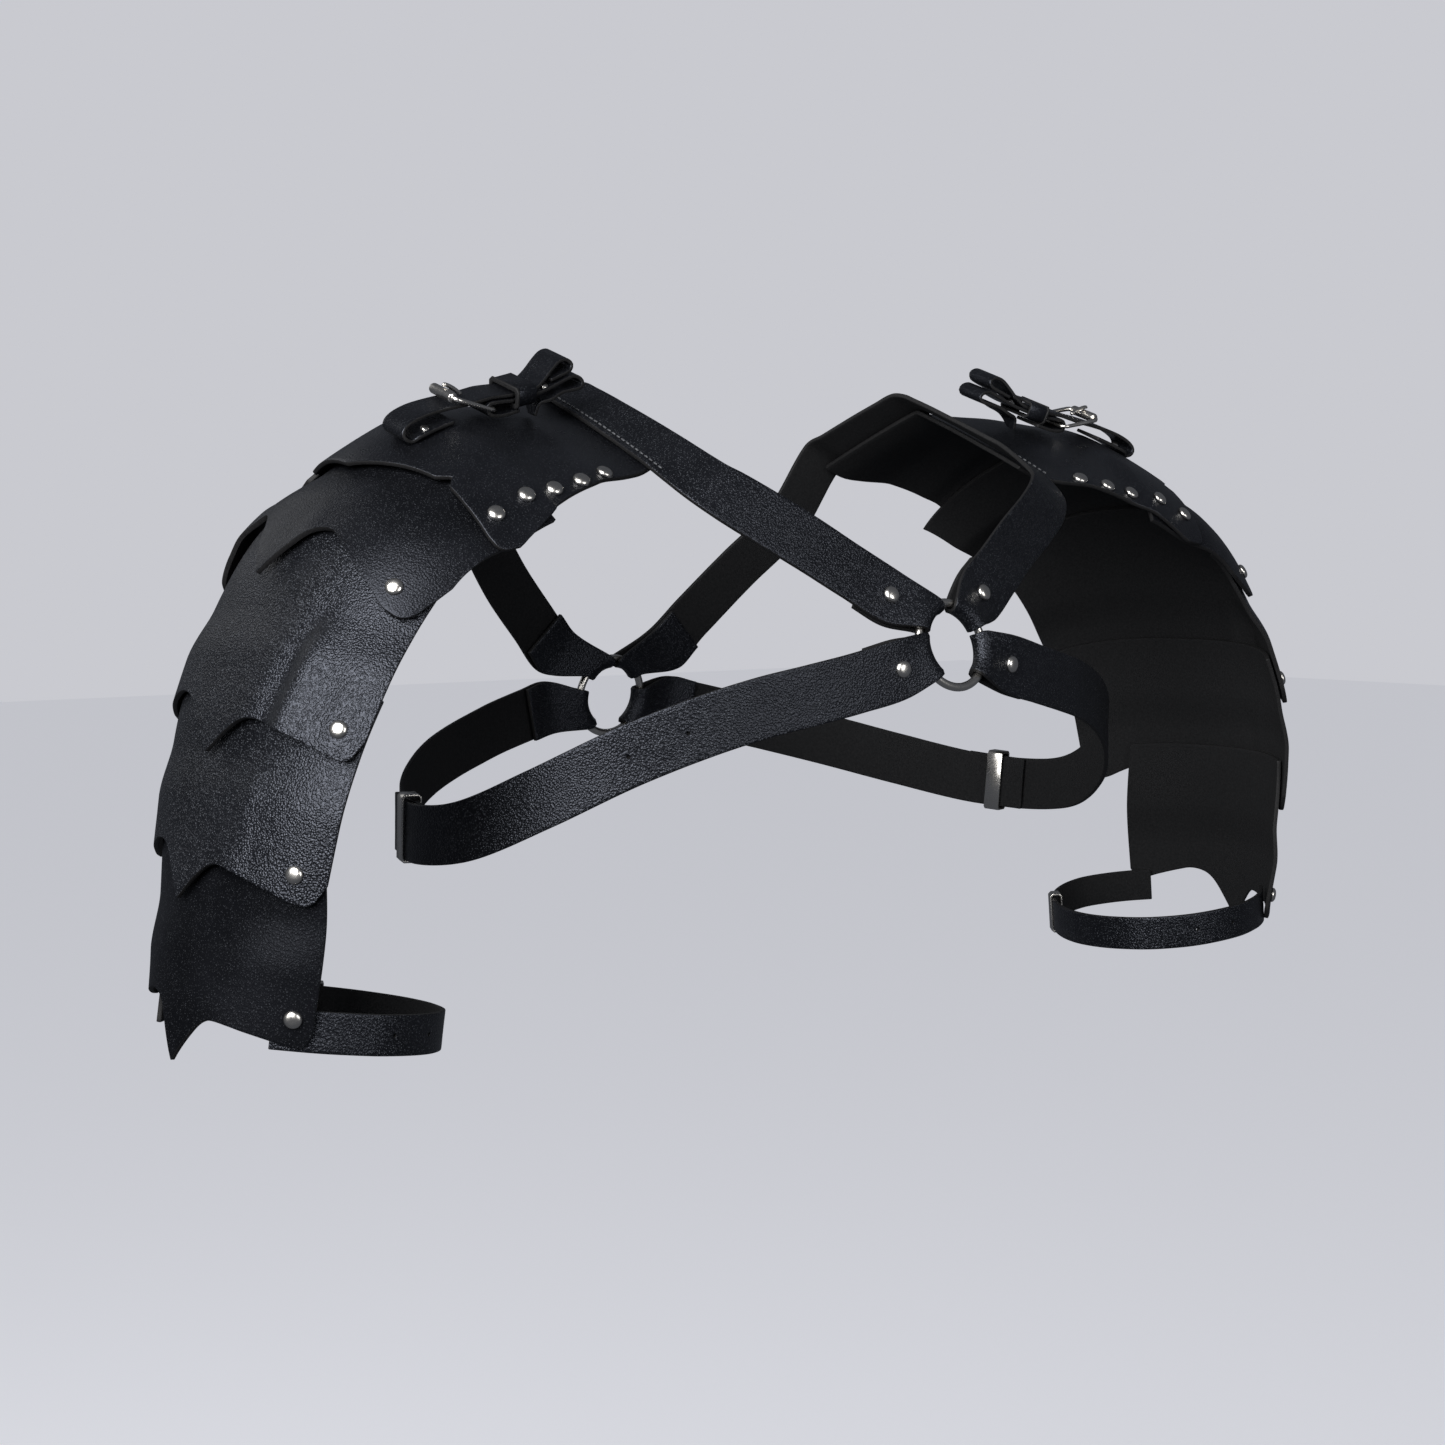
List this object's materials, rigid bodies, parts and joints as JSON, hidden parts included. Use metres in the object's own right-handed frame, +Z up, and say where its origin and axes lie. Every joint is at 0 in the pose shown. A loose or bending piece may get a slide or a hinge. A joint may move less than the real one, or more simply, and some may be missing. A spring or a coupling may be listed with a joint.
{
  "type": "leather pauldron harness, right and left pauldron joined by chest straps",
  "caption": "Black leather shoulder armour: scalloped overlapping plates down each upper arm, joined by riveted straps and metal rings.",
  "frame": {"origin": "midway between the two neck straps, at the height of the shoulder crest where the harness rests", "axes": "+Z up, -Y to the wearer's front, +X to the wearer's left"},
  "size_m": [0.6222, 0.2472, 0.2814],
  "materials": {
    "black_leather": "satin",
    "nickel": "polished"
  },
  "bodies": {
    "root": {"arm_buckle_left": "nickel", "arm_buckle_right": "nickel", "arm_strap_left": "black_leather", "arm_strap_right": "black_leather", "back_ring": "nickel", "back_strap_left": "black_leather", "back_strap_right": "black_leather", "chest_buckle_left": "nickel", "chest_buckle_right": "nickel", "chest_ring_rivet_left": "nickel", "chest_ring_rivet_right": "nickel", "chest_strap_left": "black_leather", "chest_strap_right": "black_leather", "front_ring": "nickel", "lame_1_left": "black_leather", "lame_1_right": "black_leather", "lame_1_rivet_left": "nickel", "lame_1_rivet_right": "nickel", "lame_2_left": "black_leather", "lame_2_right": "black_leather", "lame_2_rivet_left": "nickel", "lame_2_rivet_right": "nickel", "lame_3_left": "black_leather", "lame_3_right": "black_leather", "lame_3_rivet_left": "nickel", "lame_3_rivet_right": "nickel", "lame_4_left": "black_leather", "lame_4_right": "black_leather", "lame_4_rivet_left": "nickel", "lame_4_rivet_right": "nickel", "neck_ring_rivet_left": "nickel", "neck_ring_rivet_right": "nickel", "neck_strap_left": "black_leather", "neck_strap_right": "black_leather", "shoulder_billet_left": "black_leather", "shoulder_billet_right": "black_leather", "shoulder_buckle_left": "nickel", "shoulder_buckle_right": "nickel", "shoulder_chape_left": "black_leather", "shoulder_chape_right": "black_leather", "shoulder_keeper_left": "black_leather", "shoulder_keeper_right": "black_leather", "shoulder_tongue_left": "nickel", "shoulder_tongue_right": "nickel", "yoke_left": "black_leather", "yoke_right": "black_leather", "yoke_rivet_1_left": "nickel", "yoke_rivet_1_right": "nickel", "yoke_rivet_2_left": "nickel", "yoke_rivet_2_right": "nickel", "yoke_rivet_3_left": "nickel", "yoke_rivet_3_right": "nickel", "yoke_rivet_4_left": "nickel", "yoke_rivet_4_right": "nickel", "yoke_rivet_5_left": "nickel", "yoke_rivet_5_right": "nickel"}
  },
  "joints": []
}
